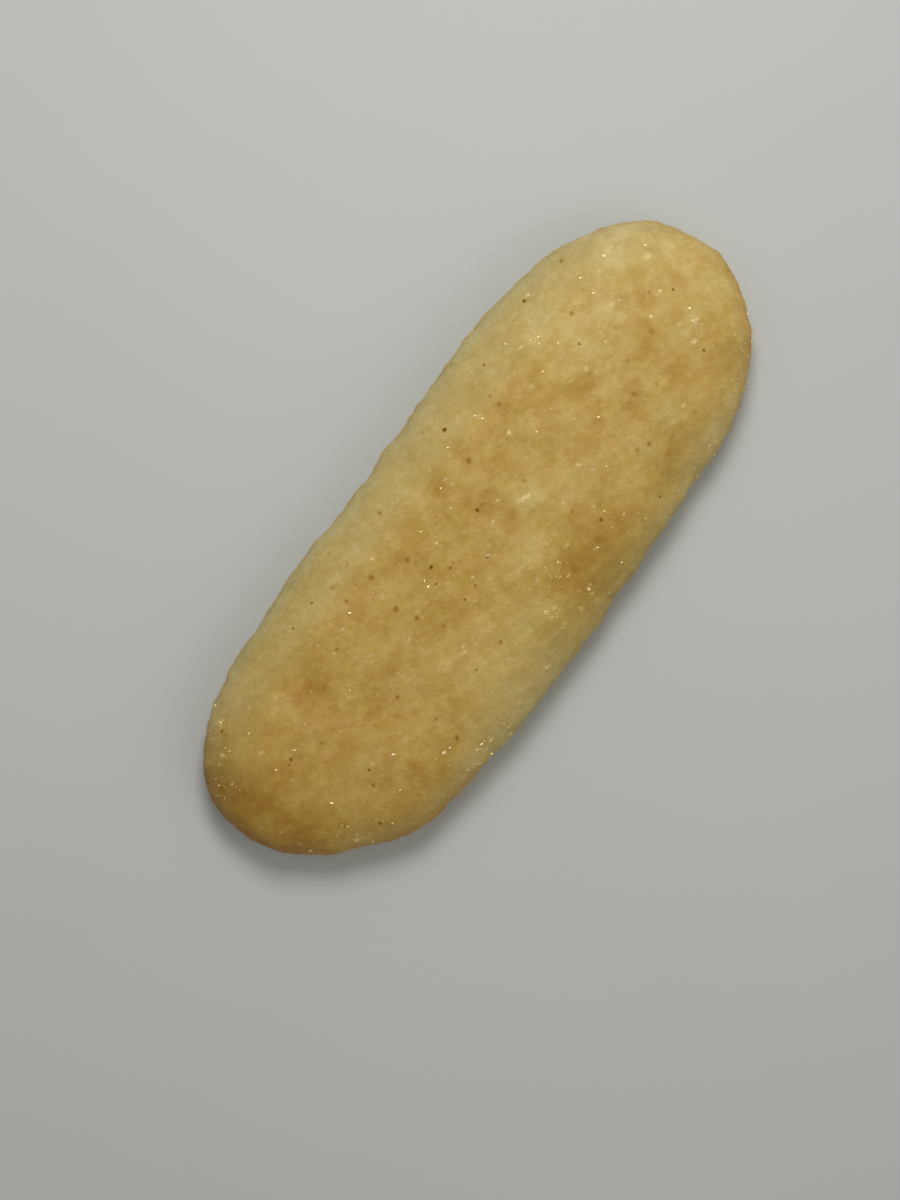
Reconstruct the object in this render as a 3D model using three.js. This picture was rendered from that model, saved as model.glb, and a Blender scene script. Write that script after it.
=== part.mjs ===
// A long oval rice cracker, puffed and browned, lying flat with its shown face up.
// Millimetres. +X runs along the cracker, +Y across it and +Z up; the origin is under the middle of the base.
import * as THREE from "three";
import { SimplexNoise } from "three/addons/math/SimplexNoise.js";
import { mergeVertices } from "three/addons/utils/BufferGeometryUtils.js";

// Driving sizes of the plain form, before it swells and dents
const LENGTH = 78;
const WIDTH = 28;
const THICKNESS = 7.8;

// Cross-section from the middle of the face, over the shoulder and rim, to the base
const RIM_HEIGHT = 3.5; // where the side stands furthest out
const PLATEAU = 9.4; // how far out the face stays nearly level
const SHOULDER_HEIGHT = 6.7; // where the side begins to lean in
const UNDERCUT_HEIGHT = 1.1; // where the side turns under
const FOOT = 9; // how far out the base stays flat
const FOOT_EASE = 3.6; // how far past the foot the underside stays low
const END_DROP = 0.8; // how much lower the face is at the tips
const END_DROP_START = 22; // how far out along the cracker the face begins to drop

// Mesh density
const COLUMNS = 176; // round the rim
const ROWS = 31; // from the middle of the face to the middle of the base

// The rim follows a stadium: two straight flanks joined by half circles
const END_RADIUS = WIDTH / 2;
const FLANK = LENGTH - WIDTH;
const END_ARC = Math.PI * END_RADIUS;
const RIM = 2 * FLANK + 2 * END_ARC;
const MIDDLE_SHARE = 0.7; // length of the middle line, as a share of the whole

// Broad swells and flats of the rim. "at" runs anticlockwise along the rim from the +X tip.
const RIM_SWELLS = [
  { at: 16.5, spread: 7, out: -0.85 }, // eased corner of the +X tip
  { at: 33, spread: 6, out: 0.45 }, // fullest stretch of the +Y flank
  { at: 52, spread: 6, out: -0.2 },
  { at: 74, spread: 5, out: -1.05 }, // where that flank draws in
  { at: 89, spread: 5, out: 0.5 }, // blunt corner of the -X tip
  { at: 106.5, spread: 7.5, out: -2.05 }, // flattened corner of the -X tip
  { at: 131, spread: 4.5, out: 0.5 }, // fuller stretches of the -Y flank
  { at: 143, spread: 4, out: 0.4 },
  { at: 158, spread: 5, out: -0.3 }, // where that flank draws in
  { at: 173.5, spread: 7, out: -1.55 }, // flattened corner of the +X tip
];

// Small crags that break the rim
const CRAG_COUNT = 58;
const CRAG_SPREAD = [0.9, 2.2];
const CRAG_OUT = [-0.16, 0.14];

// Puffs and sunken places of the face that show by themselves
const FACE_SPOTS = [
  { x: 6.5, y: -0.6, radius: 4, rise: 0.34 },
  { x: 0.5, y: -4.6, radius: 5, rise: 0.3 },
  { x: -3.5, y: -8.6, radius: 5.5, rise: 0.3 },
  { x: 21.5, y: -6.8, radius: 5, rise: 0.32 },
  { x: 19.5, y: 8.2, radius: 4.5, rise: 0.24 },
  { x: 30.5, y: 6.6, radius: 4.5, rise: 0.26 },
  { x: -28.5, y: -5.6, radius: 6, rise: 0.24 },
  { x: -22.8, y: 5.2, radius: 5, rise: -0.26 },
  { x: -19.2, y: -1.6, radius: 5.5, rise: -0.28 },
  { x: -9.5, y: 4.6, radius: 6, rise: -0.2 },
  { x: 4, y: -9.4, radius: 4.5, rise: -0.26 },
  { x: 12, y: -8.8, radius: 4, rise: -0.16 },
  { x: 19.7, y: 1.6, radius: 5, rise: -0.24 },
];

// Blisters spread by chance over the whole crust
const BLISTER_COUNT = 190;
const BLISTER_RADIUS = [1.3, 2.9];
const BLISTER_RISE = [0.06, 0.24];
const DENT_SHARE = 0.35; // how many of them sink instead

// Slow waves of the crust
const WAVES = [
  { span: 13, rise: 0.17 },
  { span: 4.6, rise: 0.1 },
];

// The base hangs a little clear of the table, save for its proudest blisters and a level spot in the middle
const BASE_LIFT = 0.1;
const REST_RADIUS = 5;
const REST_FADE = 4;

const chance = { random: () => THREE.MathUtils.seededRandom() };
THREE.MathUtils.seededRandom(3417);
const noise = new SimplexNoise(chance);

function between([low, high]) {
  return THREE.MathUtils.lerp(low, high, chance.random());
}

// A bump that is 1 at its middle and meets the surface smoothly at its radius
function softBump(distance, radius) {
  const share = distance / radius;
  return share < 1 ? (1 - share * share) ** 2 : 0;
}

// The stadium's centre of curvature and its outward direction at a place along the rim
function stationAt(along) {
  const side = along < RIM / 2 ? 1 : -1;
  const run = side > 0 ? along : RIM - along; // mirrored, so that both flanks match
  const pastArc = run - END_ARC / 2;
  if (pastArc > 0 && pastArc < FLANK) {
    return { centre: new THREE.Vector2(FLANK / 2 - pastArc, 0), outward: new THREE.Vector2(0, side) };
  }
  const turned = (pastArc <= 0 ? run : run - FLANK) / END_RADIUS;
  return {
    centre: new THREE.Vector2(pastArc <= 0 ? FLANK / 2 : -FLANK / 2, 0),
    outward: new THREE.Vector2(Math.cos(turned), side * Math.sin(turned)),
  };
}

// Distance along the rim between two places, by the shorter way round
function rimGap(a, b) {
  const gap = Math.abs(a - b) % RIM;
  return Math.min(gap, RIM - gap);
}

const crags = Array.from({ length: CRAG_COUNT }, () => ({
  at: chance.random() * RIM,
  spread: between(CRAG_SPREAD),
  out: between(CRAG_OUT),
}));

// How far the rim stands out from the stadium's centre of curvature
function reachAt(along) {
  const swells = [...RIM_SWELLS, ...crags];
  const extra = swells.map(({ at, spread, out }) => out * Math.exp(-0.5 * (rimGap(along, at) / spread) ** 2));
  return extra.reduce((sum, out) => sum + out, END_RADIUS);
}

// Half of the cross-section, as distance out and height
function crossSection() {
  const section = new THREE.Path();
  section.moveTo(0, THICKNESS);
  section.bezierCurveTo(PLATEAU, THICKNESS, END_RADIUS, SHOULDER_HEIGHT, END_RADIUS, RIM_HEIGHT);
  section.bezierCurveTo(END_RADIUS, UNDERCUT_HEIGHT, FOOT + FOOT_EASE, 0, FOOT, 0);
  section.lineTo(0, 0);
  return section;
}

const section = crossSection();
const sectionRows = Array.from({ length: ROWS + 1 }, (_, row) => {
  const point = section.getPointAt(row / ROWS);
  const tangent = section.getTangentAt(row / ROWS);
  return { share: point.x / END_RADIUS, height: point.y, out: -tangent.y, up: tangent.x };
});

// The plain form's point at a place along the rim and a row of the cross-section
function plainPoint(along, { share, height }) {
  const { centre, outward } = stationAt(along);
  const middle = new THREE.Vector2(MIDDLE_SHARE * (centre.x + outward.x * END_RADIUS), 0);
  const plan = centre.addScaledVector(outward, reachAt(along)).lerp(middle, 1 - share);
  const pastStart = Math.max(0, Math.abs(plan.x) - END_DROP_START) / (LENGTH / 2 - END_DROP_START);
  const lowered = 1 - (END_DROP / THICKNESS) * pastStart ** 2;
  return new THREE.Vector3(plan.x, plan.y, height * lowered);
}

const blisters = Array.from({ length: BLISTER_COUNT }, () => {
  const row = sectionRows[Math.floor(chance.random() * sectionRows.length)];
  const sunk = chance.random() < DENT_SHARE;
  return {
    centre: plainPoint(chance.random() * RIM, row),
    radius: between(BLISTER_RADIUS),
    rise: between(BLISTER_RISE) * (sunk ? -1 : 1),
  };
});

// How far the crust stands proud of the plain form
function relief(point, up) {
  let rise = 0;
  for (const { span, rise: height } of WAVES) {
    rise += height * noise.noise3d(point.x / span, point.y / span, point.z / span);
  }
  for (const blister of blisters) {
    rise += blister.rise * softBump(point.distanceTo(blister.centre), blister.radius);
  }
  for (const { x, y, radius, rise: height } of FACE_SPOTS) {
    rise += Math.max(0, up) * height * softBump(Math.hypot(point.x - x, point.y - y), radius);
  }
  return rise;
}

// How far a point of the underside may hang clear of the table, from 0 at the level spot to 1
function clearOfTable(point) {
  return THREE.MathUtils.smoothstep(Math.hypot(point.x, point.y), REST_RADIUS, REST_RADIUS + REST_FADE);
}

// The crust's point: the plain one moved along the cross-section's normal, and never below the table
function crustPoint(along, row) {
  const crust = plainPoint(along, row);
  const { outward } = stationAt(along);
  const rise = relief(crust, row.up);
  const underneath = Math.max(0, -row.up);
  const lifted = Math.max(0, crust.z + row.up * rise + underneath * BASE_LIFT);
  const level = underneath > 0 ? clearOfTable(crust) : 1;
  crust.set(crust.x + outward.x * row.out * rise, crust.y + outward.y * row.out * rise, lifted * level);
  return crust;
}

// Two triangles for each cell between neighbouring columns and rows
function cellTriangles(column, row) {
  const corner = (c, r) => (c % COLUMNS) * (ROWS + 1) + r;
  const [a, b] = [corner(column, row), corner(column, row + 1)];
  const [c, d] = [corner(column + 1, row + 1), corner(column + 1, row)];
  return (column + row) % 2 ? [a, b, c, a, c, d] : [a, b, d, b, c, d];
}

// Drops the triangles that closed up where columns meet on the middle line
function withoutSlivers(geometry) {
  const kept = [];
  const index = geometry.index.array;
  for (let i = 0; i < index.length; i += 3) {
    const corners = [index[i], index[i + 1], index[i + 2]];
    if (new Set(corners).size === 3) kept.push(...corners);
  }
  return geometry.setIndex(kept);
}

function crackerGeometry() {
  const positions = [];
  const index = [];
  for (let column = 0; column < COLUMNS; column++) {
    const along = (column / COLUMNS) * RIM;
    sectionRows.forEach((row) => positions.push(...crustPoint(along, row).toArray()));
    for (let row = 0; row < ROWS; row++) index.push(...cellTriangles(column, row));
  }
  const shell = new THREE.BufferGeometry();
  shell.setAttribute("position", new THREE.Float32BufferAttribute(positions, 3));
  shell.setIndex(index);
  const geometry = withoutSlivers(mergeVertices(shell, 1e-3));
  geometry.computeBoundingBox();
  const middle = geometry.boundingBox.getCenter(new THREE.Vector3());
  geometry.translate(-middle.x, -middle.y, -geometry.boundingBox.min.z);
  geometry.computeVertexNormals();
  return geometry;
}

const crust = new THREE.MeshStandardMaterial({ color: 0xcda966, roughness: 0.55, metalness: 0 });
const cracker = new THREE.Mesh(crackerGeometry(), crust);
cracker.name = "cracker";

const riceCracker = new THREE.Group();
riceCracker.add(cracker);

export default riceCracker;
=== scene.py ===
"""The looks of a long oval rice cracker that lies flat and is seen from straight above.

The fixed frame gives the solid's form. This script rounds that form into a fine baked skin with small
blisters, browns it, and scatters clear grains and dark toasted specks over it.
"""

import math
import random

import bmesh
import bpy
import numpy as np
from mathutils import Matrix, Vector, noise


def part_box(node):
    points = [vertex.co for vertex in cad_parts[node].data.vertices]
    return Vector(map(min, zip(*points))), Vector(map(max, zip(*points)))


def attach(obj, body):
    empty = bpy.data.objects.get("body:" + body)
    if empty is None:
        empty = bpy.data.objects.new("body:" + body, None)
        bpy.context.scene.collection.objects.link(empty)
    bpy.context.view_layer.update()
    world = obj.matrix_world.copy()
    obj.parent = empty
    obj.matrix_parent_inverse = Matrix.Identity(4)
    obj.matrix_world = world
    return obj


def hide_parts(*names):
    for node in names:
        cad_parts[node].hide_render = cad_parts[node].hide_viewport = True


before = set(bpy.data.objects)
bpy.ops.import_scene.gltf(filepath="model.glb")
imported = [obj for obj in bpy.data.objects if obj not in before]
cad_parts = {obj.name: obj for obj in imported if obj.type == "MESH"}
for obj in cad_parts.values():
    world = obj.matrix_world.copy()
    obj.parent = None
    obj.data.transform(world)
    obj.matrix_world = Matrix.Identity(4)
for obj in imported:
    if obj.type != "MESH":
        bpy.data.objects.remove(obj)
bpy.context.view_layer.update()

# Lengths are in millimetres until they reach Blender, which works in metres
MM = 0.001
LOW, HIGH = (np.array(corner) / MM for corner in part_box("cracker"))
LENGTH, WIDTH, THICKNESS = HIGH - LOW
RIM_HEIGHT = 0.43 * THICKNESS  # about where the cracker is widest

# The photograph's view of the cracker
VIEW_LONG_SIDE = 124.3  # what the picture's long side takes in at the rim's height
VIEW_CENTRE = (-6.6, -0.7)
VIEW_TURN = math.radians(-52.72)  # from the cracker's length to the picture's bottom edge
CAMERA_HEIGHT = 250.0
SENSOR = 36.0
NEAREST_SEEN = 10.0

# Fine wrinkles, streaks and smears are all drawn out one way, which is this angle round from +X
DRAWN_TURN = VIEW_TURN + math.radians(31)

# Lights: the angle round from +X, the angle up from the floor, how far off, how wide and how strong
WINDOW_LIGHT = {"angles": (37.3, 59), "distance": 230.0, "size": 92.0, "power": 0.242}
ROOM_LIGHT = {"angles": (280, 42), "distance": 700.0, "size": 500.0, "power": 0.58}
ROOM_STRENGTH = 0.3
FLOOR_WIDTH = 3000.0

# The skin's faces, and the relief that stands on them: how long each kind is, and how far it rises
FACE_SIZE = 0.25
SAME_CORNER = 0.001  # corners of the solid that lie nearer than this are one
FACET_ROUNDING = 2  # how many times the solid's facets are divided and rounded
SKIN_SMOOTHING = {"factor": 0.5, "iterations": 8}
SKIN_EASE = 0.05  # what rounding takes off the solid, put back
RELIEF = [(5.5, 0.046), (2.4, 0.032), (1.1, 0.019), (0.6, 0.009)]
RIM_CRAGS = [(3.4, 0.13), (1.5, 0.18), (0.7, 0.12)]
BLISTERS = [(3.1, 0.04), (1.5, 0.022)]
BLISTER_REACH = 0.62  # from its middle, as a share of how long its kind is
BLISTER_LEVEL = 0.3  # the share of their rise that counts as level with the skin
BLISTER_MIX = 7.3  # moves their middles apart, so that each draws its own height
WRINKLES = {"length": 1.8, "width": 0.6, "rise": 0.005}
PITS = {"count": 130, "radius": (0.28, 0.6), "depth": (0.02, 0.08)}

# Where in the noise each use of it lies, so that no two look alike
NOISE_SHIFTS = {
    "relief": 31.7, "rim_crags": 8.1, "wrinkles": 17.0,
    "pull_along": 50.0, "pull_across": 90.0, "tan": 12.0,
}

# Browned (above 0) and pale (below 0) places of the shown face: where, how far they reach along and
# across the cracker, and how strongly
TOASTED_PLACES = [
    (-12, 2, 17, 6, 0.06), (-22.8, 4.3, 2.4, 2, 0.8), (-19.5, -1.4, 3.2, 1.9, 0.7),
    (-15.4, -3.7, 2.4, 1.3, 0.2), (-31.3, 1.6, 1.9, 1.6, 0.45), (-26.8, 1, 1.6, 2, 0.25),
    (-27, -6, 2, 1.2, 0.2), (-22.6, -8.4, 1.9, 1.1, 0.3), (-18.8, -9.7, 2, 0.9, 0.35),
    (-14, 6.3, 4.4, 1.5, 0.35), (-13, 6, 1.6, 1.2, 0.15), (-10, 7, 1.5, 1.2, 0.3),
    (-11.5, 3.3, 1.8, 1.1, 0.5), (-5.5, 3.3, 1.5, 1.5, 0.65), (-4.6, 6, 2.6, 1.5, 0.45),
    (-8.4, -1.4, 3.2, 1.7, 0.35), (1.9, 6.8, 1.5, 1.6, 0.6), (2.4, 3.2, 1.1, 2.2, 0.7),
    (3.8, -1, 1, 1.7, 0.55), (7.4, 2.6, 1.3, 1, 0.25), (7, 7, 4.5, 1, 0.3), (12.8, 7, 2, 1.2, 0.4),
    (15.6, 5.6, 1.6, 1.2, 0.3), (19.5, 1.7, 2.2, 1.7, 0.6), (16, -1.7, 1.6, 1, 0.3),
    (31.5, 1.8, 1.4, 1.8, 0.4), (27.5, -0.6, 2, 1, 0.25), (22, -3, 2.2, 0.9, 0.25),
    (25.2, -5.4, 1.6, 1, 0.3), (3.2, -9.2, 2.2, 1.6, 0.33), (8.5, -9.2, 4.4, 2, 0.3),
    (8.2, -5.8, 1.6, 1.2, 0.4), (11.6, -10, 1.6, 1.1, 0.3), (15.6, -10.6, 3.2, 1, 0.45),
    (19.5, -9.8, 1.5, 1.4, 0.7), (23.6, -9.7, 1.5, 1.1, 0.45), (-36.8, 5.5, 2.2, 2.6, 0.8),
    (-36.5, 0, 1.8, 2.2, -0.7), (-35.6, -3, 1.6, 2.8, 0.4), (7, -0.9, 1.5, 1.3, -0.8),
    (10.6, -3, 2.8, 1.9, -0.25), (15.6, 0.5, 2.6, 0.8, -0.35), (10, 2.6, 2.2, 1.4, -0.2),
    (1.4, -4.3, 2.2, 1.8, -0.45), (-2.9, -8.5, 2.2, 1.8, -0.65), (-8.4, -8.4, 5.6, 3.8, -0.4),
    (-11.5, -11.2, 5, 1.6, -0.4), (-24.6, -3.8, 1.9, 1.2, -0.4), (-22.5, -6, 1.6, 1, -0.35),
    (-29.6, -8, 2, 2, -0.3), (-13, 0.3, 1.9, 1.3, -0.35), (-26, 5.5, 1.6, 1.6, -0.2),
    (22.4, -7.1, 2.3, 1.3, -0.6), (24.2, -3.2, 2.2, 0.9, -0.25), (16.8, -8.3, 1.8, 1.2, -0.35),
    (31, 8.3, 2.5, 1.5, -0.65), (19.6, 9.2, 2, 1.1, -0.35), (25.2, 4.2, 3.2, 2.2, -0.6),
    (31, -3, 2.8, 1.2, -0.45), (36, 1, 1.8, 3, -0.3),
]
PLACE_FADE = 1.1  # how fast they fade: e to the power of minus this is left at their reach
PLACE_PULLS = [(2.3, 0.7), (0.9, 0.4)]  # noise at their edges: how long its waves are and how far it pulls

# Places that are darker (above 0) or lighter (below 0) without a change of hue, stated like those above:
# partly baked darker, partly painted shade at the -X end and down the -Y flank, and painted light at +X
BAKED_AND_SHADED_PLACES = [
    (-38.5, 3, 4.5, 7, 0.6), (-36, 9.5, 4, 3, 0.2), (-38.5, -3, 3.5, 4.5, 0.25), (-37, 0, 2.5, 3, 0.4),
    (-31.3, 1.6, 2.5, 2.5, 0.14), (-29.5, -5.5, 6, 3, 0.14), (-31.5, -8.5, 4, 2, 0.1),
    (-20, -9, 4, 1.8, 0.12), (-24.5, -3.8, 2.2, 1.4, 0.06), (-11.5, -10.5, 3.5, 2, -0.08),
    (-3, -8.5, 2.4, 1.8, -0.05), (-22.8, 4.3, 2.4, 2.2, 0.16), (-26, -11.5, 6, 3, 0.2),
    (-15.4, -3.7, 4, 2, -0.1), (-12, 10, 5, 1.8, -0.1), (7, -0.9, 1.6, 1.3, -0.04),
    (7, 6.5, 4, 1.5, 0.07), (10.6, -3, 2.6, 1.8, 0.06), (-3, 3.5, 11, 4, 0.06),
    (2.6, 3.2, 1.6, 2.2, 0.14), (3.8, -1, 1.2, 1.6, 0.12), (4, -12.5, 9, 2.6, 0.33),
    (6, -9, 6.5, 2.4, 0.3), (18, -10.5, 4, 1.8, 0.12), (24, -3, 3, 2, 0.1), (30, -8.5, 7, 3, 0.12),
    (16, 11.5, 8, 2, -0.06), (24, 7, 7, 5, -0.08), (31, -3, 3, 2, -0.06), (32, 8, 3.5, 2.5, -0.16),
    (36.5, 2, 4, 7, -0.12),
]

# Broad changes over the cracker: which way in plan, where they begin and end, and how much they come to
TOASTED_SLOPES = [((-1, 0), -39, 39, 0.16), ((-1, 0), 30, 38, 0.15)]
# The darker rows are partly baking and partly painted shade, towards -X and down the -Y flank
BAKED_AND_SHADED_SLOPES = [((-1, 0), 0, 20, 0.03), ((-1, 0), 24, 40, 0.08), ((0, -1), 6, 12, 0.05)]

# How the pale side and the toasting change the rest of the browning
SIDE_HOLDS_OFF = 0.6  # the share of a toasted place that the side keeps off
SIDE_TOASTED_LESS = 0.3
SIDE_BAKED_MORE = 0.05
TOASTED_BAKED_MORE = 0.03

# The browned face ends in a pale side, and the pale side in a rim that is tanned in places
FACE_MIDDLE = -1.0  # the browned face lies a little towards -Y
FACE_REACH = 9.8  # how far out from its middle line it ends
FACE_FADE = 1.9
PALE_ALL_ROUND = 0.12
PALE_SLOPES = [((0, 1), 1, 7.5, 0.95), ((0, -1), 4, 9, 0.45)]
PALE_PLACES = [
    (-10, -11.5, 8, 4, 0.6), (-35, 8, 8, 6, -0.5), (34, 8, 7, 6, -0.4), (-33, -8.5, 6, 4, -0.35),
    (33, -8, 6, 5, -0.35), (17, 12, 9, 3, 0.3),
]
PALE_PATCHES = [  # of the browned face itself
    (7, -0.9, 1.8, 1.4, 0.45), (1.4, -4.4, 2.4, 1.6, 0.12), (-3, -8.8, 3, 1.8, 0.6),
    (-10, -9.8, 5.5, 2.6, 0.5), (-17, -12.4, 2.4, 1.4, 0.15), (-24.6, -3.8, 2.2, 1.2, 0.35),
    (-29, -5.5, 5, 3, 0.2), (-13, 0.3, 2, 1.3, 0.12), (15.6, 0.5, 2.6, 0.9, 0.22),
    (16.8, -8.4, 2, 1.2, 0.25), (22.5, -7, 2.6, 1.5, 0.6), (23.5, -10, 3, 1.6, 0.3),
    (16, -11.2, 4, 2, 0.18), (9, -12.2, 4, 1.6, 0.15), (31.2, -3.2, 3, 1.6, 0.25),
    (31, 8.2, 2.6, 1.6, 0.25),
]
TAN_PLACES = [
    (37, 0, 9, 12, 0.6), (31, -9, 6, 4, 0.5), (-36, 0, 7, 14, 1), (-23, -13, 9, 3, 0.7),
]

# The rim is tanned, and paled partly as a painted sheen of grazing light, between two steepnesses, 0 where
# the skin lies level and 1 upright
RIM_TANNED = {"upright": (0.5, 0.9), "all_round": 0.5, "in_places": (0.08, 0.6)}
TAN_WAVES = {"span": 4.0, "middle": 0.8, "sway": 0.5}
RIM_PALED_AND_SHEEN = {"steep": (0.02, 0.35), "least": 0.2, "tan_hides": 0.7}

# Toasted specks of the shown face that stand out: where, how wide and how dark
SHOWN_SPECKS = [
    (7, 10.4, 0.5, 1), (-5, 3, 0.48, 0.8), (-29.5, -8.9, 0.44, 0.85), (-29.7, 2.4, 0.44, 0.75),
    (29.9, -6, 0.42, 0.75), (9.5, -8.1, 0.48, 0.7), (-3.9, 1.2, 0.34, 0.65), (22.8, 11.9, 0.48, 0.6),
    (2.5, 2.7, 0.5, 0.55), (-5.7, -1.9, 0.36, 0.5), (-3.8, -1.8, 0.36, 0.55), (15.2, -11.5, 0.38, 0.55),
    (-31.7, 9.9, 0.46, 0.5), (14.9, 11.2, 0.36, 0.55), (-31.8, -6.4, 0.36, 0.5),
    (-10.6, -7.2, 0.36, 0.45), (-18.8, 10.4, 0.42, 0.4), (-15.4, 10.6, 0.34, 0.5),
    (-25.6, -4.7, 0.42, 0.35), (22.6, 4.8, 0.42, 0.45), (-6.2, 1.4, 0.46, 0.3), (-30.3, 2.1, 0.42, 0.3),
    (-0.7, -1.1, 0.4, 0.3), (33, 0.5, 0.4, 0.3),
]
CHANCE_SPECKS = {"count": 24, "width": (0.2, 0.42), "strength": (0.3, 0.9)}
SCORCH_REACH = 0.85  # how far the crust is scorched round a speck, as a share of its width

# Soft brown freckles of the shown face, which are only colour: where, how wide and how strong
SHOWN_FRECKLES = [
    (-10.7, 3.1, 0.52, 1), (-9.6, 7.2, 0.46, 0.65), (-6, 5.3, 0.5, 0.7), (-5.6, 4.5, 0.4, 0.5),
    (-3.8, 10.5, 0.6, 0.5), (-10.4, 12.1, 0.55, 0.4), (-10.3, 10.1, 0.45, 0.4), (-13.3, 7.8, 0.42, 0.7),
    (-11.4, 5.6, 0.36, 0.5), (6, 6.5, 0.5, 0.8), (12.8, 7.6, 0.46, 0.6), (8.4, -5.2, 0.46, 0.6),
    (3.2, 2.6, 0.5, 0.5), (3.8, -9.1, 0.8, 0.5), (28.3, -0.3, 0.75, 0.45), (-17.5, -10, 0.48, 0.9),
    (-17.4, -6.9, 0.45, 0.5), (-26.6, -5.9, 0.4, 0.8), (-17.9, -2.4, 0.45, 0.7), (24.6, 7.3, 0.5, 0.6),
    (24.3, -9.1, 0.5, 0.5), (22, -2.9, 0.55, 0.5), (26.3, 2.7, 0.5, 0.4), (18.7, -7.3, 0.5, 0.6),
    (-6.9, -7.4, 0.5, 0.6), (-9.2, -2, 0.5, 0.5), (20.8, 1.8, 0.6, 0.4), (5.5, 12, 0.5, 0.4),
    (31.2, 2.1, 0.45, 0.5), (-36.6, 6.3, 0.9, 0.55), (-32, 9.3, 1.2, 0.35), (-1.3, 5.3, 0.45, 0.4),
    (-5.6, 7.9, 0.4, 0.3), (-12.5, 4.3, 0.4, 0.4), (-17.7, 5.4, 0.5, 0.5), (-17, 5.9, 0.4, 0.4),
    (-7.7, 2.4, 0.4, 0.4), (-3.3, 1.3, 0.45, 0.5), (8, 0.8, 0.6, 0.4), (-19.3, -3.6, 0.5, 0.4),
    (12.8, 8.9, 0.35, 0.5), (24.1, -0.4, 0.6, 0.4), (24.3, -4.1, 0.5, 0.4), (-21.6, -2.3, 0.5, 0.4),
    (-22.5, -1.5, 0.4, 0.4), (-26.6, 0.8, 0.7, 0.4), (-22, 4.8, 1.3, 0.2), (-24.4, 6.5, 1.2, 0.25),
]
CHANCE_FRECKLES = {"count": 80, "width": (0.35, 0.7), "strength": (0.3, 0.8)}
FRECKLE_REACH = 0.8
SPOT_FADE = 2.0  # how fast freckles and scorched crust fade, as for the places above
SHOWN_BY_CHANCE = 0.06  # share of what chance puts on the shown face that stays there
FACING_UP = 0.2  # how far up the skin's normal points on the shown face, at least

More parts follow.
